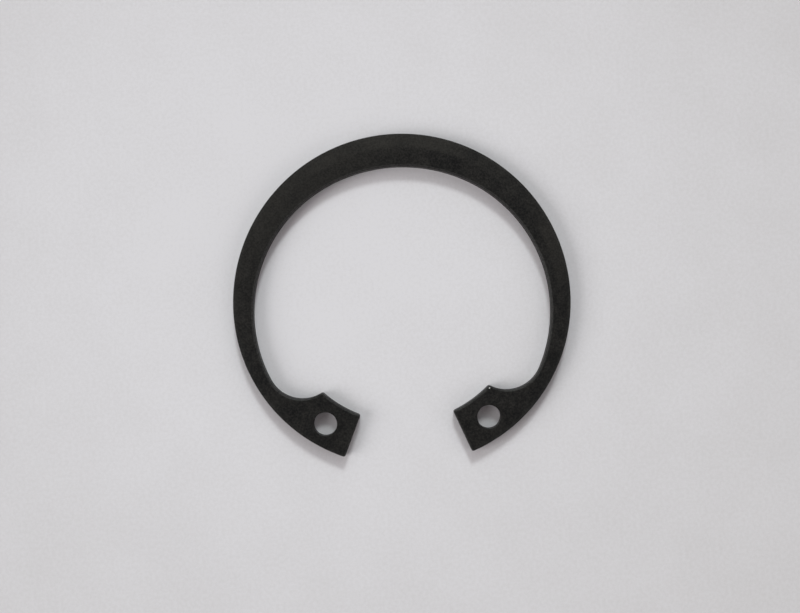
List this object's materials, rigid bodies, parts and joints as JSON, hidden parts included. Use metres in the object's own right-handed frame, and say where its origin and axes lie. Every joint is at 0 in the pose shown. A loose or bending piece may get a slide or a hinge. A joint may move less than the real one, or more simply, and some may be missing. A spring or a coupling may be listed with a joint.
{
  "type": "internal retaining ring",
  "caption": "Flat open spring-steel retaining ring for a round bore, tapering from its back to two lugs with plier holes.",
  "frame": {"origin": "on the ring's axis, in the plane of its underside", "axes": "+Z along the ring's axis, up from the face that it lies on; the gap between the lugs points to -Y; +X is to the right of the gap seen from above with the gap nearest"},
  "size_m": [0.0344, 0.0327, 0.0012],
  "materials": {
    "ring_steel": "spring steel with a dull black oxide and oil finish, tumbled edges"
  },
  "bodies": {
    "root": {"retaining_ring": "ring_steel"}
  },
  "joints": []
}
